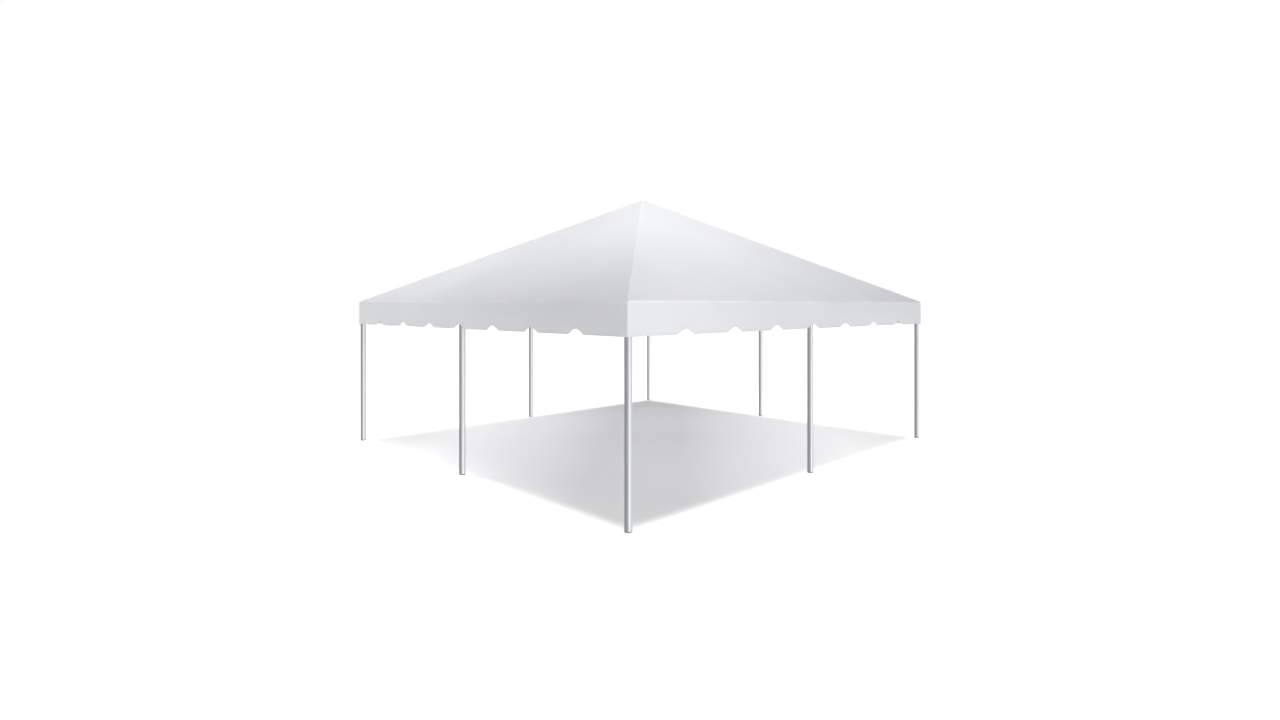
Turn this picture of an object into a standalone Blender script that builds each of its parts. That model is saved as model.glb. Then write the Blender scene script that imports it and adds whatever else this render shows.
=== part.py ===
"""Square frame tent with a pyramid roof and a scalloped valance.

The tent stands on eight legs, one at each corner and one at the middle of each side. Rails join
the legs at the eaves, and rafters run from every leg up to one crown fitting, so eight tubes meet
at the peak. Tube ends slip into sleeves on welded fittings. The fabric lies on the fittings and
turns down at the eaves as a valance whose lower edge is cut into tabs.

Metres, +Z up. The origin is on the ground under the peak. The front faces -Y.
"""

import math

import bmesh
import bpy
from mathutils import Matrix, Vector

# Driving dimensions
SIDE = 6.096  # 20 ft over the fabric
EAVE_HEIGHT = 2.10  # top edge of the valance
PEAK_HEIGHT = 3.66  # 12 ft
VALANCE_DROP = 0.33
FABRIC = 0.004  # thicker than the real coated fabric
TUBE_RADIUS = 0.0381  # 3 in tube throughout
SLEEVE_WALL = 0.004
SLEEVE_CLEARANCE = 0.0004  # between a tube and its sleeve, all round
GAP = 0.0003  # between pieces that rest on each other
EAVE_MARGIN = 0.05  # how far panels run on before their mitres are cut
FOOT_CHAMFER = 0.004

# Sleeves, measured from the point where a fitting's axes meet
EAVE_TUBE_START = 0.100
EAVE_SLEEVE_REACH = 0.200
CROWN_TUBE_START = 0.125  # eight tubes need more room before they part
CROWN_SLEEVE_REACH = 0.225

# Lower edge of the valance
TABS = 8
NOTCH_WIDTH = 0.274
NOTCH_POINT = 0.068  # height of the notch before its top is rounded
NOTCH_TOP_RADIUS = 0.125
NOTCH_FOOT_RADIUS = 0.050
ARC_STEPS = 4

FACETS = 16  # round pieces; a vertex points up and to each side

# Derived sizes
HALF = SIDE / 2
PITCH = math.atan2(PEAK_HEIGHT - EAVE_HEIGHT, HALF)
SLEEVE_BORE = TUBE_RADIUS + SLEEVE_CLEARANCE
SLEEVE_RADIUS = SLEEVE_BORE + SLEEVE_WALL
AXIS_DEPTH = FABRIC + GAP + SLEEVE_RADIUS  # from the outer face of the fabric to a tube's axis
AXIS_HALF = HALF - AXIS_DEPTH  # from the centre to the eave rails' axes
CROWN_HEIGHT = PEAK_HEIGHT - AXIS_DEPTH / math.cos(PITCH)
RAIL_HEIGHT = CROWN_HEIGHT - AXIS_HALF * math.tan(PITCH)
VALANCE_BOTTOM = EAVE_HEIGHT - VALANCE_DROP
VALANCE_TOP = EAVE_HEIGHT - FABRIC / math.cos(PITCH) - GAP

# Points where axes meet, on the front side; the other sides are turned copies
CROWN = Vector((0, 0, CROWN_HEIGHT))
MIDDLE = Vector((0, -AXIS_HALF, RAIL_HEIGHT))
RIGHT_CORNER = Vector((AXIS_HALF, -AXIS_HALF, RAIL_HEIGHT))
LEFT_CORNER = Vector((-AXIS_HALF, -AXIS_HALF, RAIL_HEIGHT))
DOWN = Vector((0, 0, -1))
ALONG_X = Vector((1, 0, 0))
ALONG_Y = Vector((0, 1, 0))

# Each side with the corner at its right-hand end, and the corner at its left-hand end
SIDES = (
    ("front", "right", "left", 0),
    ("right", "back", "front", 90),
    ("back", "left", "right", 180),
    ("left", "front", "back", 270),
)
CORNER_NAMES = {
    "front": "front_right",
    "right": "back_right",
    "back": "back_left",
    "left": "front_left",
}


def clear_scene():
    for obj in list(bpy.data.objects):
        bpy.data.objects.remove(obj)


def collection(name):
    made = bpy.data.collections.new(name)
    bpy.context.scene.collection.children.link(made)
    return made


def material(name, colour, roughness, metallic):
    made = bpy.data.materials.new(name)
    made.use_nodes = True
    shader = made.node_tree.nodes["Principled BSDF"]
    shader.inputs["Base Color"].default_value = (*colour, 1)
    shader.inputs["Roughness"].default_value = roughness
    shader.inputs["Metallic"].default_value = metallic
    return made


clear_scene()
TENT = collection("frame_tent")
CUTTERS = collection("cutters")
TUBE_METAL = material("drawn_aluminium_tube", (0.66, 0.67, 0.69), 0.28, 1)
FITTING_METAL = material("welded_aluminium_fitting", (0.58, 0.59, 0.60), 0.42, 1)
ROOF_FABRIC = material("white_coated_roof_fabric", (0.86, 0.86, 0.87), 0.45, 0)
VALANCE_FABRIC = material("white_coated_valance_fabric", (0.86, 0.86, 0.87), 0.45, 0)


def add(name, data, where, parent, look=None):
    """Links an object and gives it its material and its parent."""
    obj = bpy.data.objects.new(name, data)
    where.objects.link(obj)
    obj.parent = parent
    if look:
        data.materials.append(look)
    if where is CUTTERS:
        obj.hide_render = True
        obj.display_type = "WIRE"
    return obj


def point_along(obj, start, direction):
    """Places an object that runs up its own Z so that it runs from start along direction."""
    obj.location = start
    obj.rotation_euler = direction.to_track_quat("Z", "Y").to_euler()


def cylinder(name, start, direction, length, radius, where, parent, look=None):
    """A round bar from start along direction."""
    shape = bmesh.new()
    bmesh.ops.create_cone(
        shape, cap_ends=True, segments=FACETS, radius1=radius, radius2=radius, depth=length
    )
    bmesh.ops.translate(shape, verts=shape.verts, vec=(0, 0, length / 2))
    mesh = bpy.data.meshes.new(name)
    shape.to_mesh(mesh)
    shape.free()
    mesh.shade_smooth()
    mesh.set_sharp_from_angle(angle=math.radians(40))
    obj = add(name, mesh, where, parent, look)
    point_along(obj, start, direction)
    return obj


def ball(name, centre, radius, where, parent, look=None):
    """The round hub where a fitting's sleeves meet."""
    shape = bmesh.new()
    bmesh.ops.create_uvsphere(shape, u_segments=FACETS, v_segments=FACETS // 2, radius=radius)
    mesh = bpy.data.meshes.new(name)
    shape.to_mesh(mesh)
    shape.free()
    obj = add(name, mesh, where, parent, look)
    obj.location = centre
    return obj


def tube(name, start, end, start_depth, end_depth, parent):
    """A tube between two fittings. Each depth is from a fitting's centre to the tube's end."""
    direction = (end - start).normalized()
    length = (end - start).length - start_depth - end_depth
    first = start + direction * start_depth
    return cylinder(name, first, direction, length, TUBE_RADIUS, TENT, parent, TUBE_METAL)


def leg(name, top, parent):
    """A leg from the ground into the sleeve above it, with its foot edge chamfered."""
    length = top.z - EAVE_TUBE_START
    foot = Vector((top.x, top.y, 0))
    obj = cylinder(name, foot, -DOWN, length, TUBE_RADIUS, TENT, parent, TUBE_METAL)
    shape = bmesh.new()
    shape.from_mesh(obj.data)
    rim = [e for e in shape.edges if all(abs(v.co.z) < FOOT_CHAMFER for v in e.verts)]
    bmesh.ops.bevel(shape, geom=rim, offset=FOOT_CHAMFER, segments=1, affect="EDGES")
    shape.to_mesh(obj.data)
    shape.free()
    return obj


def boolean(obj, operation, operand):
    """Joins, cuts or trims an object with a cutter, or with every cutter in a collection."""
    modifier = obj.modifiers.new(operation.lower(), "BOOLEAN")
    modifier.operation = operation
    modifier.solver = "EXACT"
    if isinstance(operand, bpy.types.Collection):
        modifier.operand_type = "COLLECTION"
        modifier.collection = operand
    else:
        modifier.object = operand


def fitting(name, centre, directions, tube_start, reach, parent):
    """A hub with one sleeve along each direction. Each sleeve is bored to take a tube's end."""
    hub = ball(name, centre, SLEEVE_RADIUS, TENT, parent, FITTING_METAL)
    sleeves = bpy.data.collections.new(name + "_sleeves")
    bores = bpy.data.collections.new(name + "_bores")
    for n, direction in enumerate(directions):
        sleeve = cylinder(
            f"{name}_sleeve_{n}", centre, direction, reach, SLEEVE_RADIUS, CUTTERS, parent
        )
        sleeves.objects.link(sleeve)
        mouth = tube_start - GAP
        bore = cylinder(
            f"{name}_bore_{n}",
            centre + direction * mouth,
            direction,
            reach,
            SLEEVE_BORE,
            CUTTERS,
            parent,
        )
        bores.objects.link(bore)
    boolean(hub, "UNION", sleeves)
    boolean(hub, "DIFFERENCE", bores)
    return hub


def flat_outline(name, points, thickness, where, parent, look=None):
    """A closed outline in its own XY plane, given a thickness about that plane, as a mesh."""
    curve = bpy.data.curves.new(name, "CURVE")
    curve.dimensions = "2D"
    curve.fill_mode = "BOTH"
    curve.extrude = thickness / 2
    spline = curve.splines.new("POLY")
    spline.points.add(len(points) - 1)
    for point, (x, y) in zip(spline.points, points):
        point.co = (x, y, 0, 1)
    spline.use_cyclic_u = True
    drawn = bpy.data.objects.new(name + "_outline", curve)
    bpy.context.scene.collection.objects.link(drawn)
    graph = bpy.context.evaluated_depsgraph_get()
    mesh = bpy.data.meshes.new_from_object(drawn.evaluated_get(graph))
    bpy.data.objects.remove(drawn)
    shape = bmesh.new()
    shape.from_mesh(mesh)
    bmesh.ops.remove_doubles(shape, verts=shape.verts, dist=1e-5)
    bmesh.ops.recalc_face_normals(shape, faces=shape.faces)
    shape.to_mesh(mesh)
    shape.free()
    mesh.name = name
    return add(name, mesh, where, parent, look)


def plan_wedge(name, parent):
    """The quarter of the plan that belongs to one side, as a tall prism that reaches past the eave.

    Its slanting faces stand on the hips, so what it trims meets its neighbour in a mitre.
    """
    inset = GAP / math.sqrt(2)  # half the gap, measured along X or Y
    eave = HALF + EAVE_MARGIN
    corners = ((-eave + inset, -eave), (eave - inset, -eave), (0, -inset))
    return flat_outline(name, corners, 3 * PEAK_HEIGHT, CUTTERS, parent)


def rounded_corner(before, corner, after, radius):
    """Points of the arc that rounds a corner of an outline."""
    back = (before - corner).normalized()
    onward = (after - corner).normalized()
    half_angle = back.angle(onward) / 2
    centre = corner + (back + onward).normalized() * (radius / math.sin(half_angle))
    tangent = radius / math.tan(half_angle)
    first = corner + back * tangent - centre
    last = corner + onward * tangent - centre
    turn = -first.angle_signed(last)
    steps = range(ARC_STEPS + 1)
    return [centre + Matrix.Rotation(turn * n / ARC_STEPS, 2) @ first for n in steps]


def notch(middle):
    """One notch in the valance's lower edge: straight sides, a round top and eased feet."""
    left = Vector((middle - NOTCH_WIDTH / 2, VALANCE_BOTTOM))
    right = Vector((middle + NOTCH_WIDTH / 2, VALANCE_BOTTOM))
    top = Vector((middle, VALANCE_BOTTOM + NOTCH_POINT))
    aside = Vector((NOTCH_WIDTH, 0))
    points = rounded_corner(left - aside, left, top, NOTCH_FOOT_RADIUS)
    points += rounded_corner(left, top, right, NOTCH_TOP_RADIUS)
    points += rounded_corner(top, right, right + aside, NOTCH_FOOT_RADIUS)
    return points


def valance(name, wedge, parent):
    """The hanging strip on one side. It starts wider than the side, and the wedge mitres it."""
    end = HALF + EAVE_MARGIN / 2
    points = [Vector((-end, VALANCE_TOP)), Vector((-end, VALANCE_BOTTOM))]
    for n in range(1, TABS):
        points += notch(-HALF + n * SIDE / TABS)
    points += [Vector((end, VALANCE_BOTTOM)), Vector((end, VALANCE_TOP))]
    strip = flat_outline(name, points, FABRIC, TENT, parent, VALANCE_FABRIC)
    strip.rotation_euler.x = math.pi / 2
    strip.location.y = -HALF + FABRIC / 2
    boolean(strip, "INTERSECT", wedge)


def roof_panel(name, wedge, parent):
    """One slope of the roof: its section, drawn out along the eave and mitred by the wedge.

    The section's own X and Y become the tent's Y and Z, and its thickness runs along X. Its ends
    are plumb, so the eave end stands flush over the valance.
    """
    plumb = FABRIC / math.cos(PITCH)
    section = (
        (-HALF, EAVE_HEIGHT - plumb),
        (0, PEAK_HEIGHT - plumb),
        (0, PEAK_HEIGHT),
        (-HALF, EAVE_HEIGHT),
    )
    panel = flat_outline(name, section, SIDE + 2 * EAVE_MARGIN, TENT, parent, ROOF_FABRIC)
    panel.rotation_euler = (math.pi / 2, 0, math.pi / 2)
    boolean(panel, "INTERSECT", wedge)


def build_side(side, right_end, left_end, angle, origin):
    """Everything that belongs to one side, modelled as the front and turned about the origin."""
    turned = bpy.data.objects.new("side_" + side, None)
    TENT.objects.link(turned)
    turned.parent = origin
    turned.rotation_euler.z = math.radians(angle)
    corner = CORNER_NAMES[side]
    up_hip = (CROWN - RIGHT_CORNER).normalized()
    up_slope = (CROWN - MIDDLE).normalized()

    leg(f"leg_{corner}", RIGHT_CORNER, turned)
    leg(f"leg_{side}_middle", MIDDLE, turned)
    for end, place in ((right_end, RIGHT_CORNER), (left_end, LEFT_CORNER)):
        tube(
            f"eave_rail_{side}_{end}", MIDDLE, place, EAVE_TUBE_START, EAVE_TUBE_START, turned
        )
    tube(f"hip_rafter_{corner}", RIGHT_CORNER, CROWN, EAVE_TUBE_START, CROWN_TUBE_START, turned)
    tube(f"side_rafter_{side}", MIDDLE, CROWN, EAVE_TUBE_START, CROWN_TUBE_START, turned)
    fitting(
        f"corner_fitting_{corner}",
        RIGHT_CORNER,
        (-ALONG_X, ALONG_Y, DOWN, up_hip),
        EAVE_TUBE_START,
        EAVE_SLEEVE_REACH,
        turned,
    )
    fitting(
        f"side_fitting_{side}",
        MIDDLE,
        (-ALONG_X, ALONG_X, DOWN, up_slope),
        EAVE_TUBE_START,
        EAVE_SLEEVE_REACH,
        turned,
    )
    wedge = plan_wedge(f"plan_wedge_{side}", turned)
    roof_panel(f"roof_panel_{side}", wedge, turned)
    valance(f"valance_{side}", wedge, turned)


def build_crown(origin):
    """The hub at the peak, with a sleeve for each hip rafter and each side rafter."""
    down_hip = (RIGHT_CORNER - CROWN).normalized()
    down_slope = (MIDDLE - CROWN).normalized()
    directions = []
    for *_, angle in SIDES:
        turn = Matrix.Rotation(math.radians(angle), 3, "Z")
        directions += [turn @ down_slope, turn @ down_hip]
    fitting("crown_fitting", CROWN, directions, CROWN_TUBE_START, CROWN_SLEEVE_REACH, origin)


def main():
    origin = bpy.data.objects.new("tent_origin", None)
    TENT.objects.link(origin)
    for side, right_end, left_end, angle in SIDES:
        build_side(side, right_end, left_end, angle, origin)
    build_crown(origin)


main()
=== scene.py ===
"""Finished look of a square frame tent: coated fabric roof and valances on a frame of metal tubes.

Every surface is worked out with numpy as a grid of points over two parameters. Sizes come from
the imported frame, and what it can't tell, such as a hem's width, is a property of the add-on.
Metres, +Z up, the front faces -Y, and the origin is on the ground under the peak.
"""

import math

import bmesh
import bpy
import numpy as np
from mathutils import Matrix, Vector


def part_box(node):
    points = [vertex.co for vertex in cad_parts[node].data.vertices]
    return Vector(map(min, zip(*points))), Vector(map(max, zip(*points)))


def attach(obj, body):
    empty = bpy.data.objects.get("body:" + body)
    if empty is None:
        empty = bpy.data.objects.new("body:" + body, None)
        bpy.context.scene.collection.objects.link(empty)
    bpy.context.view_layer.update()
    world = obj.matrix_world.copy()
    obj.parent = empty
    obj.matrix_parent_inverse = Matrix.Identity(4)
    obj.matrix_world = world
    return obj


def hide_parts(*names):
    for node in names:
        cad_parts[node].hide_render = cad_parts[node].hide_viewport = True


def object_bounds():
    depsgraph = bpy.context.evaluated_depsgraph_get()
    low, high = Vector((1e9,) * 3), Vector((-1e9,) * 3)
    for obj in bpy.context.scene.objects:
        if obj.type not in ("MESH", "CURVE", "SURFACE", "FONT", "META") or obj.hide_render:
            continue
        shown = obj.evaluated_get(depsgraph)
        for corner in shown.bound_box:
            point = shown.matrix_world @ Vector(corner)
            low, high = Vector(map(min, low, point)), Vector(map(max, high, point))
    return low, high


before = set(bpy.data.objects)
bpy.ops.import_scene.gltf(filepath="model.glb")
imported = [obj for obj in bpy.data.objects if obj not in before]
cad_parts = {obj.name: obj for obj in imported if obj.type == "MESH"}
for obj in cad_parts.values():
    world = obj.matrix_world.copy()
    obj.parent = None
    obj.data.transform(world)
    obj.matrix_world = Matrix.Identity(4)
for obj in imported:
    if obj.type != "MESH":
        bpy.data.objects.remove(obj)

bl_info = {
    "name": "Frame tent",
    "version": (1, 0, 0),
    "blender": (4, 5, 0),
    "location": "View3D > Sidebar > Frame Tent",
    "description": "Builds the fabric, tubes, fittings and studio of a square frame tent",
    "category": "Add Mesh",
}

# Points closer than this are one point, and directions closer than this one direction
WELD_REACH, SAME_ANGLE = 1e-6, 1e-6

# Where two faces meet at more than this, the edge between them is shaded sharp
SHARP_ANGLE = math.radians(40)

# The greatest value of v v (1 - v^6), the shape of the roof's dip
DEEPEST = 0.75 * 0.25 ** (1 / 3)

# Metres: how deep a tape sits in the fabric, how far a valance starts under the roof's fold, the
# height over its edge where its rows start to straighten, and over how much height they do
TAPE_SINK, VALANCE_GAP, HEM_CLEAR, NOTCH_FADE = 0.0002, 0.002, 0.03, 0.2

# Sleeves are welded where the cosine of the angle between them is over these
WIDEST_WELD, WIDEST_CROWN_WELD = -0.5, 0.6

# Metres on the floor: its radius, where its glow rises, where the painted shadow's tone that the
# camera sees rises with |x + y| and with |x - y|, and where the painted shadow's soft edge starts
# and ends
FLOOR_REACH = 60
GLOW_RISE, SPILL_RISE, LIFT_RISE, SHADE_EDGE = (4.5, 7.5), (0.8, 4.2), (0, 5), (2.8, 3.2)

CAD_LOW, CAD_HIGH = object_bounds()

# The sides, counter-clockwise from the front, with the corner that ends each
SIDES = ("front", "right", "back", "left")
CORNERS = ("front_right", "back_right", "back_left", "front_left")
QUARTER = math.pi / 2
UP = np.array((0.0, 0.0, 1.0))

# Sizes read off the frame
HALF = CAD_HIGH.x
PEAK_HEIGHT = CAD_HIGH.z
RAIL_LOW, RAIL_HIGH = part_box("eave_rail_front_right")
LEG_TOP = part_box("leg_front_right")[1].z
HUB_LOW, HUB_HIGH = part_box("corner_fitting_front_right")
CROWN_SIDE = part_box("crown_fitting")[1].x
TUBE_RADIUS = (RAIL_HIGH.z - RAIL_LOW.z) / 2
AXIS_HALF = -(RAIL_LOW.y + RAIL_HIGH.y) / 2
RAIL_HEIGHT = (RAIL_LOW.z + RAIL_HIGH.z) / 2
AXIS_DEPTH = HALF - AXIS_HALF
SLEEVE_RADIUS = HUB_HIGH.x - AXIS_HALF
SLEEVE_REACH = RAIL_HEIGHT - HUB_LOW.z
TUBE_START = RAIL_HEIGHT - LEG_TOP
VALANCE_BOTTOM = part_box("valance_front")[0].z


def roof_pitch():
    """The pitch p for which an axis AXIS_DEPTH under the slope runs from the rail to the peak.

    With rise H and run A it solves H cos p - A sin p = depth, so
    p = arccos(depth / sqrt(H H + A A)) - arctan(A / H).
    """
    rise = PEAK_HEIGHT - RAIL_HEIGHT
    return math.acos(AXIS_DEPTH / math.hypot(rise, AXIS_HALF)) - math.atan2(AXIS_HALF, rise)


PITCH = roof_pitch()
CROWN = np.array((0, 0, PEAK_HEIGHT - AXIS_DEPTH / math.cos(PITCH)))
CROWN_REACH = (CROWN_SIDE - SLEEVE_RADIUS * math.sin(PITCH)) / math.cos(PITCH)
CROWN_TUBE_START = (
    TUBE_RADIUS * math.sin(PITCH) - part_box("side_rafter_front")[1].y
) / math.cos(PITCH)


def hex_colour(code):
    """An sRGB hex colour as linear red, green, blue and alpha."""
    srgb = [int(code[n : n + 2], 16) / 255 for n in (1, 3, 5)]
    linear = [c / 12.92 if c <= 0.04045 else ((c + 0.055) / 1.055) ** 2.4 for c in srgb]
    return (*linear, 1)


def length(name, default, description):
    """A property that holds a length in metres."""
    return bpy.props.FloatProperty(
        name=name, description=description, default=default, min=0, precision=4,
        subtype="DISTANCE", unit="LENGTH",
    )


def colour(name, code, description):
    """A property that holds a colour, with its default as an sRGB hex value."""
    return bpy.props.FloatVectorProperty(
        name=name, description=description, default=hex_colour(code), size=4, min=0, max=1,
        subtype="COLOR",
    )


def level(name, default, description):
    """A property that holds a brightness or a share."""
    return bpy.props.FloatProperty(name=name, description=description, default=default, min=0)


class TentFabric(bpy.types.PropertyGroup):
    thickness: length("Thickness", 0.0012, "Coated fabric, a little over the real half millimetre")
    fold_radius: length("Fold radius", 0.012, "How tightly the fabric turns at hips and eaves")
    sag: length("Sag", 0.010, "Greatest dip of the roof between two rafters")
    lap: length("Lap", 0.010, "How far the roof runs down over the top of the valance")
    slack: length("Slack", 0.0003, "Air between two layers that lie on each other")
    tabs: bpy.props.IntProperty(
        name="Tabs", description="Tabs in the valance on one side", default=8, min=2, max=20
    )
    notch_width: length("Notch width", 0.25, "Width of a notch before its corners are rounded")
    notch_point: length("Notch point", 0.070, "Height of a notch before its top is rounded")
    notch_top: length("Notch top radius", 0.100, "Rounding of the top of a notch")
    notch_foot: length("Notch foot radius", 0.040, "Rounding of the corners of a tab")
    hem: length("Hem", 0.014, "Width of the turned hem along the valance's lower edge")
    hem_swell: length("Hem swell", 0.0005, "How far the hem stands out on either face")
    ripple: length("Ripple", 0.0025, "How far the hanging edge waves in and out")
    belly: length("Belly", 0.008, "How far a valance swells out between two legs")
    tape_reach: length("Tape reach", 0.011, "Half width of the tape welded over a hip or corner")
    tape: length("Tape", 0.0009, "Thickness of that tape")
    crown_patch: level("Crown patch", 0.014, "Share of the slope under the cap on the peak")
    white: colour("White", "#ebecee", "The vinyl skin")
    shade: colour("Shade", "#e7e8eb", "Where the skin has yellowed or greyed a little")
    # Partly painted highlight: the tape's brighter white also makes the light lines along the hips,
    # the valance corners and the eave fold
    tape_white_and_highlight: colour("Tape white", "#fafafa", "The smoother, brighter welding tape")
    thread: colour("Thread", "#d2d3d4", "Polyester thread in the hems")


class TentFrame(bpy.types.PropertyGroup):
    bore: length("Bore clearance", 0.0004, "Between a tube and its sleeve, all round")
    lip: length("Lip", 0.0012, "Rounding of a sleeve's mouth")
    edge: length("Edge", 0.0008, "Rounding of a tube's cut end")
    bead: length("Weld bead", 0.004, "Radius of the weld where two sleeves meet")
    bead_depth: length("Weld depth", 0.0026, "How far the middle of a weld lies under the sleeves")
    plug: length("Foot plug", 0.012, "Height of the moulded plug that closes a leg")
    pin_inset: length("Pin inset", 0.045, "From a sleeve's mouth to its locking pin")
    pin: length("Pin radius", 0.004, "Radius of a locking pin")
    ring: length("Ring radius", 0.012, "Radius of the pull ring on a locking pin")
    tie_height: length("Tie height", 0.225, "From a rail's axis down to the webbing tie on its leg")
    webbing_width: length("Webbing width", 0.025, "Width of the webbing")
    webbing: length("Webbing", 0.0014, "Thickness of the webbing")
    tube_light: colour("Tube", "#e9ebee", "Clear anodised aluminium")
    tube_dark: colour("Tube shade", "#d2d4d9", "The same in its drawn lines")
    sleeve_light: colour("Sleeve", "#c6c8cb", "Brushed, welded aluminium")
    sleeve_dark: colour("Sleeve shade", "#a9abaf", "The same in its brushed lines")
    zinc_light: colour("Zinc", "#c9cacc", "Bright zinc plate")
    zinc_dark: colour("Zinc shade", "#a39f97", "Zinc plate where it has dulled")
    plastic: colour("Plug", "#8e9196", "Moulded grey polyethylene")
    web_light: colour("Webbing colour", "#e6e6e4", "White polyester webbing")
    web_dark: colour("Webbing shade", "#c4c4c1", "Between the yarns of the webbing")


class TentStage(bpy.types.PropertyGroup):
    lens: bpy.props.FloatProperty(
        name="Lens", description="Focal length on a 36 mm wide sensor", default=19, unit="CAMERA"
    )
    eye: bpy.props.FloatVectorProperty(
        name="Eye", description="Where the camera stands", default=(7.569, -7.117, 2.066),
        subtype="XYZ", unit="LENGTH",
    )
    yaw: bpy.props.FloatProperty(
        name="Yaw", description="Which way the level camera looks, from the back to the left",
        default=math.radians(43.63), subtype="ANGLE",
    )
    shift: bpy.props.FloatVectorProperty(
        name="Shift", description="Lens shift, as a share of the picture's width",
        default=(-0.0310, -0.0435), size=2,
    )
    overhead: level("Overhead", 1, "Strength of the soft light straight above")
    panels: level("Panels", 1, "Strength of all the soft panels together")
    mirrored: level("Mirrored room", 1, "Brightness of the room where metal mirrors it")
    floor_glow: level("Floor glow", 0.27, "Light given off by the lit floor under the tent")
    # Painted shadow under the tent, seen only by the camera: its tone under the middle, and how
    # much lighter it is painted to the left and right and to the near and far corners
    painted_shadow_tone: level("Floor tone", 0.26, "The glow that is seen under the middle of the tent")
    painted_shadow_spill: level("Floor spill", 0.38, "How much more of it is seen to the left and right")
    painted_shadow_lift: level("Floor lift", 0.10, "How much more of it is seen to the near and far corner")
    floor: colour("Floor", "#e8e8e9", "Matt white studio floor")


def slerp(a, b, t):
    """Unit vectors from a to b along the great circle between them, for t from 0 to 1.

    With w the angle between them: (sin((1 - t) w) a + sin(t w) b) / sin w.
    """
    angle = np.arccos(np.clip((a * b).sum(-1, keepdims=True), -1, 1))
    parted = np.where(angle < SAME_ANGLE, 1, angle)
    mixed = (np.sin((1 - t) * parted) * a + np.sin(t * parted) * b) / np.sin(parted)
    return np.where(angle < SAME_ANGLE, a, mixed)


def smooth_step(x):
    """0 below 0, 1 above 1, and 3 x x - 2 x x x between."""
    x = np.clip(x, 0, 1)
    return x * x * (3 - 2 * x)


def unit(vectors):
    """Each vector divided by its length."""
    return vectors / np.linalg.norm(vectors, axis=-1, keepdims=True)


def circle(a, b, count):
    """Points cos t A + sin t B, for t evenly round a full turn."""
    t = np.linspace(0, 2 * math.pi, count, endpoint=False)[:, None]
    return np.cos(t) * a + np.sin(t) * b


def travel(points):
    """The distance along a row of points, from 0 at its first."""
    return np.append(0, np.linalg.norm(np.diff(points, axis=0), axis=1).cumsum())


def uv_grid(u, v):
    """UVs for a grid, with U along its rows and V down its columns."""
    return np.stack(np.meshgrid(u, v), -1)


def side_directions(k):
    """Outward and onward directions of side k: the front's -Y and +X, turned k quarter turns."""
    angle = (k - 1) * QUARTER
    out = np.array((math.cos(angle), math.sin(angle), 0)).round(12)
    return out, np.cross(UP, out)


def slope_normal(k):
    """Outward normal of the roof over side k: sin p outwards and cos p up, at the pitch p."""
    return math.sin(PITCH) * side_directions(k)[0] + math.cos(PITCH) * UP


def frame_joints(k):
    """Where the tubes' axes meet over side k's middle, its last corner and its first corner."""
    out, onward = side_directions(k)
    return [AXIS_HALF * (out + n * onward) + RAIL_HEIGHT * UP for n in (0, 1, -1)]


def grid_patch(points, uv, wrap_rows=False, wrap_columns=False, poles=(False, False), slot=0):
    """The faces of a grid of points, as (points, corner numbers, corners per face, UVs, slots).

    points is rows by columns by 3. Face (i, j) joins point (i, j) to its next neighbours. uv has
    one more row or column than points where the grid wraps. It may also be a pair: the UVs that a
    face reads at its own column, and at the next one. A pole is a row whose points coincide: it
    keeps one point, and its faces are triangles. slot is one material slot, or one for each row.
    """
    rows, columns = points.shape[:2]
    number = np.arange(rows * columns).reshape(rows, columns)
    for pole, row in zip(poles, (0, -1)):
        if pole:
            number[row] = number[row, 0]
    if wrap_rows:
        number = np.vstack((number, number[:1]))
    if wrap_columns:
        number = np.hstack((number, number[:, :1]))
    here, there = uv if isinstance(uv, tuple) else (uv[:, :-1], uv[:, 1:])
    corners = np.stack((number[:-1, :-1], number[1:, :-1], number[1:, 1:], number[:-1, 1:]), -1)
    maps = np.stack((here[:-1], here[1:], there[1:], there[:-1]), -2)
    slots = np.broadcast_to(np.reshape(slot, (-1, 1)), corners.shape[:2])
    first, last = int(poles[0]), len(corners) - int(poles[1])
    bands = [(slice(first, last), [0, 1, 2, 3])]
    if poles[0]:
        bands.append((slice(0, 1), [0, 1, 2]))
    if poles[1]:
        bands.append((slice(last, None), [0, 1, 3]))
    loops = np.concatenate([corners[b][..., keep].ravel() for b, keep in bands])
    totals = np.concatenate([np.full(slots[b].size, len(keep)) for b, keep in bands])
    loop_uv = np.concatenate([maps[b][..., keep, :].reshape(-1, 2) for b, keep in bands])
    slots = np.concatenate([slots[b].ravel() for b, _ in bands])
    used, loops = np.unique(loops, return_inverse=True)
    return points.reshape(-1, 3)[used], loops, totals, loop_uv, slots


def closed_strip(points, uv):
    """A strip whose rows run over its outer face and back over its inner, with both ends closed."""
    rows = len(points) // 2
    patches = [grid_patch(points, uv, wrap_rows=True)]
    for column, turned in ((0, True), (-1, False)):
        outer, inner = points[:rows, column], points[rows:, column][::-1]
        cap = np.stack((inner, outer) if turned else (outer, inner), 1)
        patches.append(grid_patch(cap, np.stack((uv[:rows, column], uv[:rows, column]), 1)))
    return patches


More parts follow.
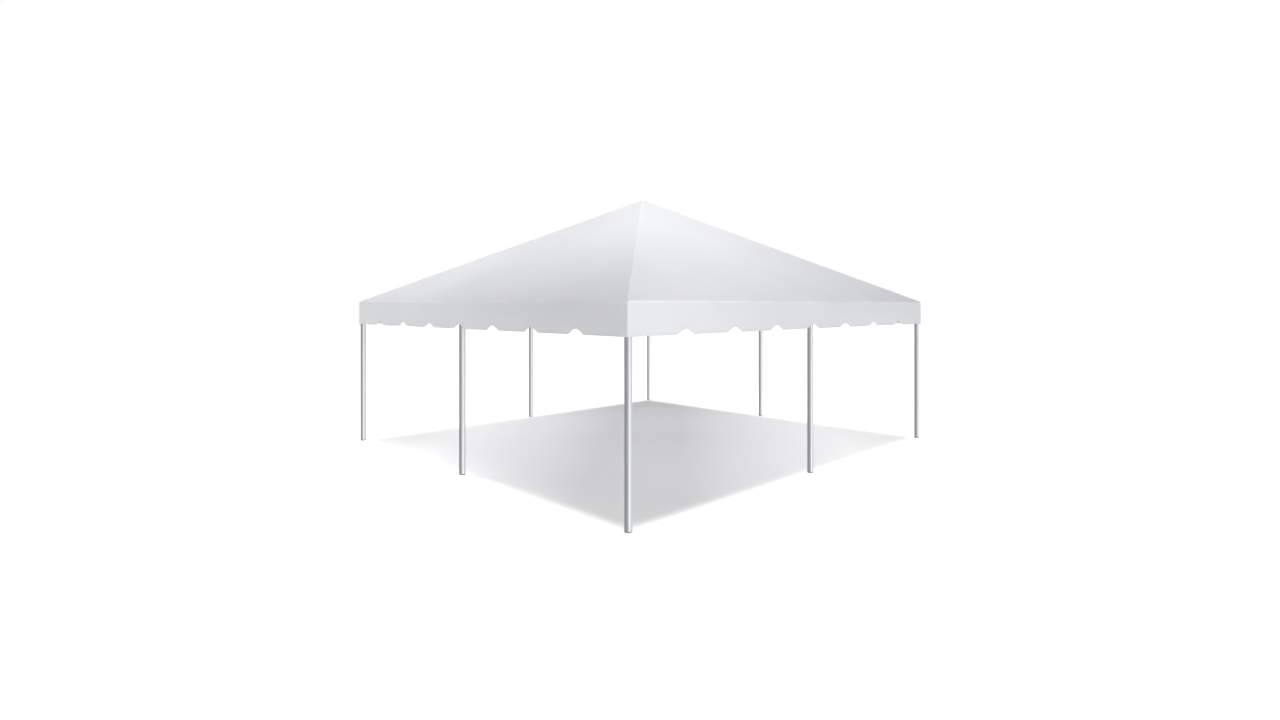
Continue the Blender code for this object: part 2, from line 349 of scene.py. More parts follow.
def make_mesh(name, patches, materials):
    """Joins patches into one mesh with a UV map in metres, and welds points that coincide."""
    points, loops, totals, loop_uv, slots = zip(*patches)
    starts = np.cumsum([0] + [len(p) for p in points[:-1]])
    loops = np.concatenate([loop + start for loop, start in zip(loops, starts)])
    points, totals, loop_uv, slots = map(np.concatenate, (points, totals, loop_uv, slots))
    mesh = bpy.data.meshes.new(name)
    mesh.vertices.add(len(points))
    mesh.vertices.foreach_set("co", points.ravel())
    mesh.loops.add(len(loops))
    mesh.loops.foreach_set("vertex_index", loops)
    mesh.polygons.add(len(totals))
    mesh.polygons.foreach_set("loop_start", np.cumsum(totals) - totals)
    mesh.polygons.foreach_set("material_index", slots)
    mesh.update(calc_edges=True)
    mesh.uv_layers.new(name="pattern").data.foreach_set("uv", loop_uv.ravel())
    for material in materials:
        mesh.materials.append(material)
    shell = bmesh.new()
    shell.from_mesh(mesh)
    bmesh.ops.remove_doubles(shell, verts=shell.verts, dist=WELD_REACH)
    shell.to_mesh(mesh)
    shell.free()
    return mesh


def place_piece(name, mesh, replaced):
    """Shades a mesh, puts it in the scene as a piece, and hides the frame's parts that it stands
    for.
    """
    mesh.name = name
    mesh.validate()
    mesh.shade_smooth()
    mesh.set_sharp_from_angle(angle=SHARP_ANGLE)
    piece = bpy.data.objects.new(name, mesh)
    bpy.context.scene.collection.objects.link(piece)
    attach(piece, "root")
    if replaced:
        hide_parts(*replaced)
    return piece


def make_piece(name, patches, materials, replaced):
    """A piece made of patches."""
    return place_piece(name, make_mesh(name, patches, materials), replaced)


def unite(name, shells, materials):
    """One closed mesh from closed shells that run into each other."""
    scene = bpy.context.scene
    first, *others = (
        bpy.data.objects.new(name, make_mesh(name, [shell], materials)) for shell in shells
    )
    rest = bpy.data.collections.new(name)
    scene.collection.objects.link(first)
    scene.collection.children.link(rest)
    for part in others:
        rest.objects.link(part)
    union = first.modifiers.new("union", "BOOLEAN")
    union.operation = "UNION"
    union.solver = "MANIFOLD"
    union.operand_type = "COLLECTION"
    union.collection = rest
    bpy.context.view_layer.update()
    solid = first.evaluated_get(bpy.context.evaluated_depsgraph_get())
    mesh = bpy.data.meshes.new_from_object(solid)
    for part in (first, *others):
        used = part.data
        bpy.data.objects.remove(part)
        bpy.data.meshes.remove(used)
    bpy.data.collections.remove(rest)
    return mesh


def lathe(start, direction, profile, sides=48, slot=0):
    """A profile turned about a line.

    Point (i, j) is start + along_i D + radius_i (cos a_j E + sin a_j F), where D, E and F are
    square to each other. A radius of 0 at either end is a pole. U runs round and V along.
    """
    profile = np.array(profile, float)
    along, radius = profile.T[..., None, None]
    d = unit(direction)
    e = unit(np.cross(d, UP if abs(d[2]) < 0.9 else (1, 0, 0)))
    points = start + along * d + radius * circle(e, np.cross(d, e), sides)
    uv = uv_grid(np.linspace(0, 2 * math.pi * radius.max(), sides + 1), travel(profile))
    poles = (profile[0, 1] == 0, profile[-1, 1] == 0)
    return grid_patch(points[:, ::-1], uv, wrap_columns=True, poles=poles, slot=slot)


def sweep(path, section, side, closed=False, slot=0):
    """A closed outline carried along a path.

    Point (i, j) is path_i + across_j S_i + out_j O_i, where S is side made square to the path at
    i, and O is square to both. The ends of an open bar are closed by a point in their middle.
    U runs round the outline and V along the path.
    """
    ahead = np.roll(path, -1, 0) if closed else np.vstack((path[1:], path[-1:]))
    behind = np.roll(path, 1, 0) if closed else np.vstack((path[:1], path[:-1]))
    way = unit(ahead - behind)
    s = unit(side - (way * side).sum(-1, keepdims=True) * way)
    turned = section[::-1]
    ring = turned[:, :1] * s[:, None] + turned[:, 1:] * np.cross(way, s)[:, None]
    points = path[:, None] + ring
    if closed:
        line = np.vstack((path, path[:1]))
    else:
        line = np.vstack((path[:1], path, path[-1:]))
        ends = np.broadcast_to(path[[0, -1], None], (2, len(section), 3))
        points = np.concatenate((ends[:1], points, ends[1:]))
    uv = uv_grid(travel(np.vstack((turned, turned[:1]))), travel(line))
    poles = (not closed, not closed)
    return grid_patch(points, uv, wrap_rows=closed, wrap_columns=True, poles=poles, slot=slot)


def round_section(radius, sides=10):
    """A round outline: radius (cos t, sin t)."""
    return radius * circle((1, 0), (0, 1), sides)


def flat_section(width, thickness):
    """A webbing's outline: a rectangle with its corners cut by a third of its thickness."""
    w, t, c = width / 2, thickness / 2, thickness / 3
    corner = np.array(((w, t - c), (w - c, t)))
    upper = np.vstack((corner, corner[::-1] * (-1, 1)))
    return np.vstack((upper, -upper))


def add_node(tree, kind, inputs=None, **settings):
    """Adds a shader node, sets its properties and inputs, and gives its outputs.

    An input goes by its name or number, and an output of another node is linked to it.
    """
    made = tree.nodes.new("ShaderNode" + kind)
    for name, value in settings.items():
        setattr(made, name, value)
    for name, value in (inputs or {}).items():
        if isinstance(value, bpy.types.NodeSocket):
            tree.links.new(value, made.inputs[name])
        else:
            made.inputs[name].default_value = value
    return made.outputs


def new_material(name):
    """A material, its node tree and its texture coordinates."""
    material = bpy.data.materials.new(name)
    material.use_nodes = True
    return material, material.node_tree, add_node(material.node_tree, "TexCoord")


def noise(tree, place, stretch, detail=2):
    """Cloudy noise over a place stretched by three factors, most of it from 0.3 to 0.7."""
    spread = add_node(tree, "Mapping", {"Vector": place, "Scale": stretch})[0]
    return add_node(tree, "TexNoise", {"Vector": spread, "Scale": 1, "Detail": detail})[0]


def ridges(tree, value, period):
    """The sine of a length, with one wave to each period."""
    turned = add_node(tree, "Math", {0: value, 1: 2 * math.pi / period}, operation="MULTIPLY")
    return add_node(tree, "Math", {0: turned[0]}, operation="SINE")[0]


def dress(material, tones, gloss, dents, metallic=0, specular=0.5):
    """Gives a material its colour, roughness and relief from drawn patterns.

    Each of tones is a pattern, its low and high value, and the colour at each, where None is the
    colour so far. gloss is a roughness, or a pattern, its low and high value and the roughness at
    each. Each of dents is a pattern and the height in metres that a step of 1 in it stands for.
    """
    tree = material.node_tree
    looks = tree.nodes["Principled BSDF"].inputs
    looks["Metallic"].default_value = metallic
    looks["Specular IOR Level"].default_value = specular
    paint = None
    for pattern, low, high, dark, light in tones:
        share = add_node(tree, "MapRange", {0: pattern, 1: low, 2: high})[0]
        mixed = {0: share, 6: paint if dark is None else dark, 7: light}
        paint = add_node(tree, "Mix", mixed, data_type="RGBA")[2]
    tree.links.new(paint, looks["Base Color"])
    if isinstance(gloss, tuple):
        rough = add_node(tree, "MapRange", dict(enumerate(gloss)))[0]
        tree.links.new(rough, looks["Roughness"])
    else:
        looks["Roughness"].default_value = gloss
    bump = {}
    for height, depth in dents:
        relief = {"Height": height, "Distance": depth, "Strength": 1, **bump}
        bump = {"Normal": add_node(tree, "Bump", relief)[0]}
    if bump:
        tree.links.new(bump["Normal"], looks["Normal"])
    return material


def stitches(tree, u, v, rows, stitch=0.009, thread=0.0008):
    """1 on the threads of rows of stitches along U, at distances V from the edge, and 0 off them.

    Real stitches are 4 mm long and half a millimetre thick. They are drawn twice as coarse.
    """
    dash = add_node(tree, "MapRange", {0: ridges(tree, u, stitch), 1: -0.5, 2: 0.1})[0]
    total = 0
    for row in rows:
        off = add_node(tree, "Math", {0: v, 1: row}, operation="SUBTRACT")[0]
        off = add_node(tree, "Math", {0: off}, operation="ABSOLUTE")[0]
        line = add_node(tree, "MapRange", {0: off, 1: 0.4 * thread, 2: thread, 3: 1, 4: 0})[0]
        sewn = add_node(tree, "Math", {0: line, 1: dash}, operation="MULTIPLY")[0]
        total = add_node(tree, "Math", {0: total, 1: sewn}, operation="MAXIMUM")[0]
    return total


def coated_fabric(name, dark, light, thread, rows=(), roughness=0.55):
    """White PVC-coated polyester: a woven scrim under a calendered vinyl skin.

    The skin gives a soft satin sheen, and the scrim under it a faint grid. Folding for storage
    leaves long, shallow creases. Threads lie about 1.4 mm apart on the real cloth, and are drawn
    4 mm apart so that they show. UVs are metres: U along the edge, V up from the lower edge.
    """
    material, tree, place = new_material(name)
    u, v, _ = add_node(tree, "SeparateXYZ", {0: place["UV"]})
    cloud = noise(tree, place["Object"], (0.9, 0.9, 0.9), 4)
    sheen = noise(tree, place["Object"], (5, 5, 5), 3)
    crossed = {0: ridges(tree, u, 0.004), 1: ridges(tree, v, 0.004)}
    scrim = add_node(tree, "Math", crossed, operation="MULTIPLY")[0]
    tones = [(cloud, 0.3, 0.7, dark, light)]
    dents = [(scrim, 0.00002), (noise(tree, place["Object"], (1.1, 1.1, 2.5), 1), 0.001)]
    if rows:
        sewn = stitches(tree, u, v, rows)
        tones.append((sewn, 0, 1, None, thread))
        dents.append((sewn, 0.0004))
    gloss = (sheen, 0.3, 0.7, roughness - 0.05, roughness + 0.06)
    return dress(material, tones, gloss, dents, specular=0.3)


def drawn_tube(name, dark, light):
    """Clear-anodised aluminium tube, drawn through a die.

    Drawing leaves fine lines along the tube, which spread its highlights round it, and the
    anodic film makes it a little milky. The real lines are under 0.1 mm wide, and are drawn about
    2 mm wide so that they show. UVs are metres: U round the tube, V along it.
    """
    material, tree, place = new_material(name)
    lines = noise(tree, place["UV"], (500, 1.5, 1), 3)
    film = noise(tree, place["Object"], (3, 3, 3), 2)
    tones, gloss = [(lines, 0.3, 0.7, dark, light)], (film, 0.3, 0.7, 0.16, 0.25)
    return dress(material, tones, gloss, [(lines, 0.000005)], metallic=1)


def brushed_sleeve(name, dark, light):
    """Aluminium fitting, sawn, welded, and then brushed by hand round each sleeve.

    Its highlights stretch along the sleeve. The real scratches are about 0.1 mm wide, and are
    drawn about 1.5 mm wide so that they show.
    """
    material, tree, place = new_material(name)
    lines = noise(tree, place["UV"], (12, 650, 1), 3)
    patches = noise(tree, place["Object"], (14, 14, 14), 3)
    tones, gloss = [(lines, 0.3, 0.7, dark, light)], (patches, 0.3, 0.7, 0.3, 0.46)
    return dress(material, tones, gloss, [(lines, 0.00003)], metallic=1)


def weld_bead(name, dark, light):
    """Aluminium weld laid by hand: overlapping scales about 3 mm long, bright and a bit uneven."""
    material, tree, place = new_material(name)
    along = add_node(tree, "SeparateXYZ", {0: place["UV"]})["Y"]
    scales = ridges(tree, along, 0.003)
    tones, gloss = [(scales, -1, 1, dark, light)], (scales, -1, 1, 0.42, 0.26)
    return dress(material, tones, gloss, [(scales, 0.00025)], metallic=1)


def zinc_plate(name, dark, light):
    """Turned steel with bright zinc plate: smooth, with cloudy dull patches."""
    material, tree, place = new_material(name)
    cloud = noise(tree, place["Object"], (60, 60, 60), 4)
    tones, gloss = [(cloud, 0.35, 0.6, dark, light)], (cloud, 0.35, 0.6, 0.42, 0.2)
    return dress(material, tones, gloss, [], metallic=1)


def moulded_plug(name, code):
    """Injection-moulded polyethylene: waxy, with a fine spark-eroded grain of about 0.5 mm."""
    material, tree, place = new_material(name)
    grain = noise(tree, place["Object"], (900, 900, 900), 2)
    scuff = noise(tree, place["Object"], (30, 30, 30), 4)
    dark, light = ((*(share * c for c in code[:3]), 1) for share in (0.85, 1.1))
    return dress(material, [(scuff, 0.3, 0.7, dark, light)], 0.45, [(grain, 0.00008)])


def woven_webbing(name, dark, light):
    """Polyester webbing in a herringbone weave.

    Its yarns are about 1.2 mm wide, so that the ribs show as fine slanting lines. UVs are metres:
    U across the webbing, V along it.
    """
    material, tree, place = new_material(name)
    u, v, _ = add_node(tree, "SeparateXYZ", {0: place["UV"]})
    zigzag = add_node(tree, "Math", {0: u, 1: 0.006}, operation="PINGPONG")[0]
    slant = add_node(tree, "Math", {0: v, 1: zigzag}, operation="ADD")[0]
    yarns = ridges(tree, slant, 0.0024)
    return dress(material, [(yarns, -1, 1, dark, light)], 0.7, [(yarns, 0.00015)], specular=0.3)


def fold_skeleton(radius):
    """Half width, eave height and peak height of the tent shrunk inwards by a radius r.

    The half width loses r and the peak r / cos p, and the eave is the half width times tan p
    under the peak, at the pitch p.
    """
    half = HALF - radius
    peak = PEAK_HEIGHT - radius / math.cos(PITCH)
    return half, peak - half * math.tan(PITCH), peak


def roof_columns():
    """Plan direction, slope normal, level normal, q and onward direction of each roof column.

    Along a side, q runs from -1 on one hip to 1 on the next. At a hip the plan direction stays
    and the normals turn to the next side's. A column close to each hip keeps the faces flat.
    """
    q = np.sort(np.append(np.linspace(-1, 1, 49), (-0.994, 0.994)))[:, None]
    turn = np.linspace(0, 1, 6)[1:-1, None]
    straight, bent = np.ones_like(q), np.ones_like(turn)
    columns = []
    for k in range(4):
        (out, onward), (next_out, next_onward) = side_directions(k), side_directions(k + 1)
        slope, next_slope = slope_normal(k), slope_normal(k + 1)
        read = np.vstack((onward, bent[1:] * next_onward))
        columns.append((out + q * onward, straight * slope, straight * out, q, straight * onward))
        hip = (slerp(slope, next_slope, turn), slerp(out, next_out, turn))
        columns.append((bent * (out + onward), *hip, bent, read))
    return [np.concatenate(parts) for parts in zip(*columns)]


def roof_shell(s, low, high, down, over_eave=False):
    """A closed shell over the roof, between two heights above its fabric's outer face.

    Its surface is C + (r + height - dip) N, where C lies on the skeleton of the tent shrunk by
    the fold radius r. Going down a column, N turns from straight up to the slope's normal at the
    peak, and C runs from the peak along the given shares of the slope. Over the eave N turns on
    to level, and C then drops by the lap. The dip between rafters is sag v v (1 - v^6) sin^2(pi
    q), scaled to its greatest value, where v is 0 at the peak and 1 at the eave.
    """
    half, eave, peak = fold_skeleton(s.fold_radius)
    plan, slope, flat, q, onward = roof_columns()
    cap, fold, lap = np.linspace(0, 1, 4), np.linspace(1, 2, 7)[1:], np.linspace(0, s.lap, 3)[1:]
    if not over_eave:
        fold, lap = fold[:0], lap[:0]
    v = np.concatenate((0 * cap, down, np.ones(len(fold) + len(lap))))[:, None, None]
    tilt = np.concatenate((cap, np.ones(len(down)), fold, 0 * lap + 2))[:, None, None]
    drop = np.concatenate((np.zeros(len(v) - len(lap)), lap))[:, None, None]
    top, rim = np.array((0, 0, peak)), plan * half + (0, 0, eave)
    base = top + v * (rim - top) - drop * UP
    normal = slerp(slerp(UP, slope, np.minimum(tilt, 1)), flat, np.maximum(tilt - 1, 0))
    dip = s.sag * v**2 * (1 - v**6) / DEEPEST * np.sin(math.pi * q) ** 2
    outer = base + (s.fold_radius + high - dip) * normal
    inner = base + (s.fold_radius + low - dip) * normal
    points = np.concatenate((outer, inner[::-1]))

    height = travel(outer[::-1, int(np.argmin(np.abs(q)))])
    height = np.concatenate((height[::-1], height))[:, None]
    here, there = (
        np.stack(np.broadcast_arrays((p * onward).sum(-1), height), -1)
        for p in (points, np.roll(points, -1, 1))
    )
    first = len(cap) + len(down) - 1
    # Rows over the eave fold and the lap take the second slot, which carries the painted highlight
    # along the fold
    band = np.zeros(len(points) - 1, int)
    if over_eave:
        band[first : len(band) - first] = 1
    return grid_patch(points, (here, there), wrap_columns=True, poles=(True, True), slot=band)


def fold_tape(s, normal_a, normal_b, radius, path):
    """A tape over a rounded fold, carried along a path up the fold's axis.

    Across the tape, a distance d from its middle line lies on the arc r N while it is less than
    half the arc, and on the flat face beside it from there on.
    """
    axis = unit(np.cross(normal_a, normal_b))
    beside = s.tape_reach - radius * math.acos(normal_a @ normal_b) / 2
    turn = np.linspace(0, 1, 7)[:, None]
    outer, inner = (
        np.vstack((
            reach * normal_a - beside * np.cross(axis, normal_a),
            reach * slerp(normal_a, normal_b, turn),
            reach * normal_b + beside * np.cross(axis, normal_b),
        ))
        for reach in (radius + s.tape, radius - TAPE_SINK)
    )
    across = travel(outer)
    rows = np.concatenate((across, across[::-1], across[:1]))
    points = np.vstack((outer, inner[::-1]))[:, None] + path
    return closed_strip(points, uv_grid(travel(path), rows))


class TENT_OT_roof(bpy.types.Operator):
    """Lay the roof fabric over the rafters, and weld tapes over its hips and peak"""

    bl_idname = "tent.roof"
    bl_label = "Roof fabric"

    def execute(self, context):
        s = context.scene.tent_fabric
        # Two rows of stitches, as distances up from the sheet's edge
        rows = (0.004, s.lap + 0.006)
        fabric = coated_fabric("pvc_coated_polyester", s.shade, s.white, s.thread)
        # The band over the eave fold and the lap is painted in the tape's brighter white: a painted
        # highlight along the fold
        band = coated_fabric("pvc_coated_polyester_eave_painted_highlight", s.shade, s.tape_white_and_highlight, s.thread, rows)
        # The tapes' brighter white is partly painted highlight: the light line along each hip
        tape = coated_fabric("welded_pvc_tape", s.white, s.tape_white_and_highlight, s.thread, roughness=0.42)
        # A row close to the peak and one close to the eave keep the faces between them flat
        down = np.sort(np.append(np.linspace(0, 1, 41)[1:], (0.003, 0.997)))
        patch = roof_shell(s, -s.thickness, 0, down, over_eave=True)
        replaced = [f"roof_panel_{side}" for side in SIDES]
        sheet = make_piece("roof_sheet", [patch], [fabric, band], replaced)

        patch = roof_shell(s, s.tape, 2 * s.tape, np.linspace(0, s.crown_patch, 5)[1:])
        trim = [make_piece("crown_patch", [patch], [tape], [])]
        half, eave, peak = fold_skeleton(s.fold_radius)
        top = np.array((0, 0, peak))
        # A hip tape starts just above the eave and ends under the crown patch
        share = np.array((0.995, 0.5, s.crown_patch * 0.7))[:, None]
        for k, name in enumerate(CORNERS):
            corner = sum(side_directions(k)) * half + (0, 0, eave)
            path = top + share * (corner - top)
            patches = fold_tape(s, slope_normal(k), slope_normal(k + 1), s.fold_radius, path)
            trim.append(make_piece(f"hip_tape_{name}", patches, [tape], []))
        return {"FINISHED"}


def notch_zones(s):
    """Where a notch's top arc, its flank and its foot arc end, as distances from its middle.

    At the flanks' angle a they are r sin a, and e - f sin a and e, where e is
    width / 2 + f tan(a / 2), with r and f the radii of the top and the foot.
    """
    angle = math.atan(2 * s.notch_point / s.notch_width)
    foot_end = s.notch_width / 2 + s.notch_foot * math.tan(angle / 2)
    return s.notch_top * math.sin(angle), foot_end - s.notch_foot * math.sin(angle), foot_end


def notch_height(x, s):
    """Height of the lower edge above the tabs at a distance x from a notch's middle.

    The notch is a V with straight flanks at an angle a, where tan a = 2 point / width. Its top is
    an arc of radius r about (0, point - r / cos a), which meets the flanks at x = r sin a. At
    each foot an arc of radius f about (width / 2 + f tan(a / 2), f) leads down to the tab.
    """
    x = np.abs(x)
    tan = 2 * s.notch_point / s.notch_width
    top, foot = s.notch_top, s.notch_foot
    top_end, foot_start, foot_end = notch_zones(s)
    arc = s.notch_point - top * math.hypot(1, tan) + np.sqrt(np.maximum(top**2 - x**2, 0))
    ease = foot - np.sqrt(np.maximum(foot**2 - (x - foot_end) ** 2, 0))
    zones = [x < top_end, x < foot_start, x < foot_end]
    return np.select(zones, [arc, s.notch_point - x * tan, ease], 0)


def valance_stations(s, half):
    """Places along a side: close together round the arcs of each notch, and wider between."""
    pitch = 2 * HALF / s.tabs
    ends = (0, *notch_zones(s), pitch / 2)
    spans = [np.linspace(a, b, n) for a, b, n in zip(ends, ends[1:], (9, 4, 7, 8))]
    spans = np.unique(np.round(np.concatenate(spans), 6))
    spans = np.concatenate((-spans[:0:-1], spans))
    middles = pitch * (np.arange(s.tabs + 1) - s.tabs / 2)
    return np.unique(np.round(np.clip((middles[:, None] + spans).ravel(), -half, half), 5))


def valance_patches(s, k, radius, half, top):
    """The strip of fabric that hangs along side k, bent about a radius at both its corners.

    Its surface is C + r N + height: C runs along the side, N turns half way round each corner,
    and the height above the lower edge is d + notch(x) (1 - step(d)). Near the edge rows follow
    the notches, and by 0.23 m above it they are level. The hem swells inside its width. Between
    two legs the cloth swells out by belly sin^2(pi f) and waves by a sum of sines times f^1.5,
    where f is 0 at the top and 1 at the lower edge, and both are scaled by sin^2(pi u / half),
    which is 0 at the legs.
    """
    out, onward = side_directions(k)
    before, after = side_directions(k - 1)[0], side_directions(k + 1)[0]
    pitch, tall = 2 * HALF / s.tabs, top - VALANCE_BOTTOM
    along, turn = valance_stations(s, half), np.linspace(0, 1, 5)
    left = slerp(unit(before + out), out, turn[:-1, None])
    right = slerp(out, unit(out + after), turn[1:, None])
    normal = np.concatenate((left, np.tile(out, (len(along), 1)), right))
    c = np.concatenate((np.full(4, -half), along, np.full(4, half)))
    arc = radius * QUARTER / 2
    u = c + np.concatenate((arc * (turn[:-1] - 1), 0 * along, arc * turn[1:]))

    # Rows along the lower edge, with one just under and one just over the top of the hem
    edges = (0, 0.004, 0.008, 0.011, s.hem - 0.0006, s.hem + 0.0006, 0.02)
    rise = np.concatenate((edges, np.linspace(HEM_CLEAR, tall, 16)))
    last = s.tabs / 2 - 1
    notch = notch_height(u - pitch * np.clip(np.round(u / pitch), -last, last), s)
    keep = 1 - smooth_step((rise - HEM_CLEAR) / NOTCH_FADE)
    z = VALANCE_BOTTOM + rise[:, None] + notch * keep[:, None]
    fall = np.clip((top - z) / tall, 0, 1)
    # One wave to a tab, and weaker and longer ones. Each side has its own shift
    wave = np.sin(2 * math.pi * u / pitch + 1.3 * k) + 0.6 * np.sin(u * 5.1 + 2.1 * k)
    hem = s.hem_swell * smooth_step((s.hem + 0.0004 - rise) / 0.0008)[:, None]
    swell = s.belly * np.sin(math.pi * fall) ** 2 + s.ripple * fall**1.5 * wave
    offset = radius + swell * np.sin(math.pi * u / HALF) ** 2
    spot = half * out + c[:, None] * onward + z[..., None] * UP
    outer = spot + (offset + hem)[..., None] * normal
    inner = spot + (offset - s.thickness - hem)[..., None] * normal
    points = np.concatenate((outer[::-1], inner))
    return closed_strip(points, uv_grid(u, np.concatenate((rise[::-1], rise, rise[-1:]))))


class TENT_OT_valances(bpy.types.Operator):
    """Hang a valance with tabs along each side"""

    bl_idname = "tent.valances"
    bl_label = "Valances"

    def execute(self, context):
        s = context.scene.tent_fabric
        # Two rows of stitches hold the hem
        rows = (s.hem - 0.003, s.hem - 0.010)
        fabric = coated_fabric("pvc_coated_polyester_hemmed", s.shade, s.white, s.thread, rows)
        # The corner tape's brighter white is partly painted highlight: the light line down each
        # corner
        tape = coated_fabric("welded_pvc_tape_corner", s.white, s.tape_white_and_highlight, s.thread)
        radius = s.fold_radius - s.thickness - s.slack
        half, eave, _ = fold_skeleton(s.fold_radius)
        top = eave - VALANCE_GAP
        tall, pitch = top - VALANCE_BOTTOM, 2 * HALF / s.tabs
        cut = (s.tabs - 1) * pitch * notch_height(np.linspace(0, pitch / 2, 4000), s).mean()
        for k, side in enumerate(SIDES):
            patches, name = valance_patches(s, k, radius, half, top), f"valance_cloth_{side}"
            strip = make_piece(name, patches, [fabric], [f"valance_{side}"])
            out, onward = side_directions(k)
            path = (out + onward) * half + np.array((VALANCE_BOTTOM, top))[:, None] * UP
            patches, name = fold_tape(s, out, onward, radius, path), f"corner_tape_{CORNERS[k]}"
            trim = make_piece(name, patches, [tape], [])
        return {"FINISHED"}


def tube_profile(tall, edge):
    """A closed bar with rounded rims, and a ring inside each rim that keeps it straight."""
    r = TUBE_RADIUS
    rim = ((0, r - edge), (edge * 0.3, r - edge * 0.3), (edge, r), (3 * edge, r))
    return ((0, 0), *rim, *((tall - along, radius) for along, radius in rim[::-1]), (tall, 0))


def bar_between(start, end, start_depth, end_depth, edge):
    """A tube along the line from start to end, cut short by a depth at each end."""
    way = unit(end - start)
    tall = np.linalg.norm(end - start) - start_depth - end_depth
    return lathe(start + way * start_depth, way, tube_profile(tall, edge))


class TENT_OT_legs(bpy.types.Operator):
    """Stand the eight legs on their plugs, with a webbing tie near the top of each"""

    bl_idname = "tent.legs"
    bl_label = "Legs"

    def execute(self, context):
        """Each leg is a turned profile: a moulded plug on the ground and the tube above it."""
        s = context.scene.tent_frame
        metal = drawn_tube("clear_anodised_drawn_aluminium_leg", s.tube_dark, s.tube_light)
        plastic = moulded_plug("moulded_polyethylene_plug", s.plastic)
        web = woven_webbing("woven_polyester_webbing", s.web_dark, s.web_light)
        zinc = zinc_plate("zinc_plated_steel_buckle", s.zinc_dark, s.zinc_light)
        # The plug's radius is 1 mm less than the tube's, and it runs 1 mm up into the tube
        rim, ease, overlap = TUBE_RADIUS - 0.001, 0.004, 0.001
        plug = ((0, 0), (0, rim - ease), (0.3 * ease, rim - 0.3 * ease), (ease, rim))
        plug += ((s.plug, rim), (s.plug, 0))
        bar = tube_profile(LEG_TOP - s.plug + overlap, s.edge)
        for k, side in enumerate(SIDES):
            out, onward = side_directions(k)
            for name, plan in ((CORNERS[k], out + onward), (f"{side}_middle", out)):
                foot = AXIS_HALF * plan
                tube = lathe(foot + (s.plug - overlap) * UP, UP, bar)
                shells = [lathe(foot, UP, plug, slot=1), tube]
                make_piece(f"leg_tube_{name}", shells, [metal, plastic], [f"leg_{name}"])
                make_piece(f"leg_tie_{name}", leg_tie(foot, out, s), [web, zinc], [])
        return {"FINISHED"}


def leg_tie(foot, out, s):
    """Webbing round a leg, its buckle and its hanging tail.

    The loop's distance from the leg's axis is r + bulge exp(-(a / 0.6)^2), with a the angle from
    outwards, so that it reaches the valance that it is sewn to. The buckle is a wire round a
    rectangle w by h with corners of radius r, with a pivot bar across it. The tail is a line that
    falls by t and leaves the leg by 0.004 sin(pi t / 2).
    """
    across = np.cross(UP, out)
    middle = foot + (RAIL_HEIGHT - s.tie_height) * UP
    # Metres: the air round the leg, how far the loop lies inside the tent's outer side, how far
    # the buckle lies behind the loop, and the radii of the buckle's wire and of its bar
    air, inset, behind, wire, pivot = 0.0003, 0.0031, 0.0026, 0.0016, 0.0014
    snug = TUBE_RADIUS + s.webbing / 2 + air
    angle = np.linspace(-math.pi, math.pi, 64, endpoint=False)[:, None]
    bulge = AXIS_DEPTH - inset - s.webbing / 2 - snug
    reach = snug + bulge * np.exp(-((angle / 0.6) ** 2))
    loop = middle + reach * (np.cos(angle) * out + np.sin(angle) * across)
    shells = [sweep(loop, flat_section(s.webbing_width, s.webbing), UP, closed=True)]

    back = middle - (snug + behind) * out
    w, h, r = 0.013, 0.017, 0.004
    turn = circle((1, 0), (0, 1), 32)
    spot = np.sign(np.round(turn, 6)) * (w - r, h - r) + r * turn
    buckle = back + spot[:, :1] * across + spot[:, 1:] * UP
    shells.append(sweep(buckle, round_section(wire), out, closed=True, slot=1))
    bar = back + np.linspace(-w, w, 5)[:, None] * across
    shells.append(sweep(bar, round_section(pivot), UP, slot=1))

    t = np.linspace(0, 1, 10)[:, None]
    tail = back - (0.002 + 0.004 * np.sin(math.pi * t / 2)) * out + (0.006 - 0.056 * t) * UP
    shells.append(sweep(tail, flat_section(s.webbing_width * 0.8, s.webbing), across))
    return shells


class TENT_OT_rails(bpy.types.Operator):
    """Join the legs with eave rails and run the rafters up to the crown"""

    bl_idname = "tent.rails"
    bl_label = "Rails and rafters"

    def execute(self, context):
        s = context.scene.tent_frame
        metal = drawn_tube("clear_anodised_drawn_aluminium", s.tube_dark, s.tube_light)
        for k, side in enumerate(SIDES):
            middle, corner, first = frame_joints(k)
            after, before = SIDES[(k + 1) % 4], SIDES[k - 1]
            for tube, node, name, start, end, depth in (
                ("rail_tube", "eave_rail", f"{side}_{after}", middle, corner, TUBE_START),
                ("rail_tube", "eave_rail", f"{side}_{before}", middle, first, TUBE_START),
                ("hip_tube", "hip_rafter", CORNERS[k], corner, CROWN, CROWN_TUBE_START),
                ("side_tube", "side_rafter", side, middle, CROWN, CROWN_TUBE_START),
            ):
                bar = bar_between(start, end, TUBE_START, depth, s.edge)
                make_piece(f"{tube}_{name}", [bar], [metal], [f"{node}_{name}"])
        return {"FINISHED"}


def weld_arc(a, b, radius, steps=25):
    """Where two equal round bars from one point meet: half an ellipse in the plane between them.

    With n square to both axes, m half way between them and w the angle between them, the curve is
    r (cos t n + sin t m / sin(w / 2)) for t from 0 to pi.
    """
    n, m = unit(np.cross(a, b)), unit(a + b)
    half_angle = math.acos(np.clip(a @ b, -1, 1)) / 2
    t = np.linspace(0.02, math.pi - 0.02, steps)[:, None]
    return radius * (np.cos(t) * n + np.sin(t) * m / math.sin(half_angle))


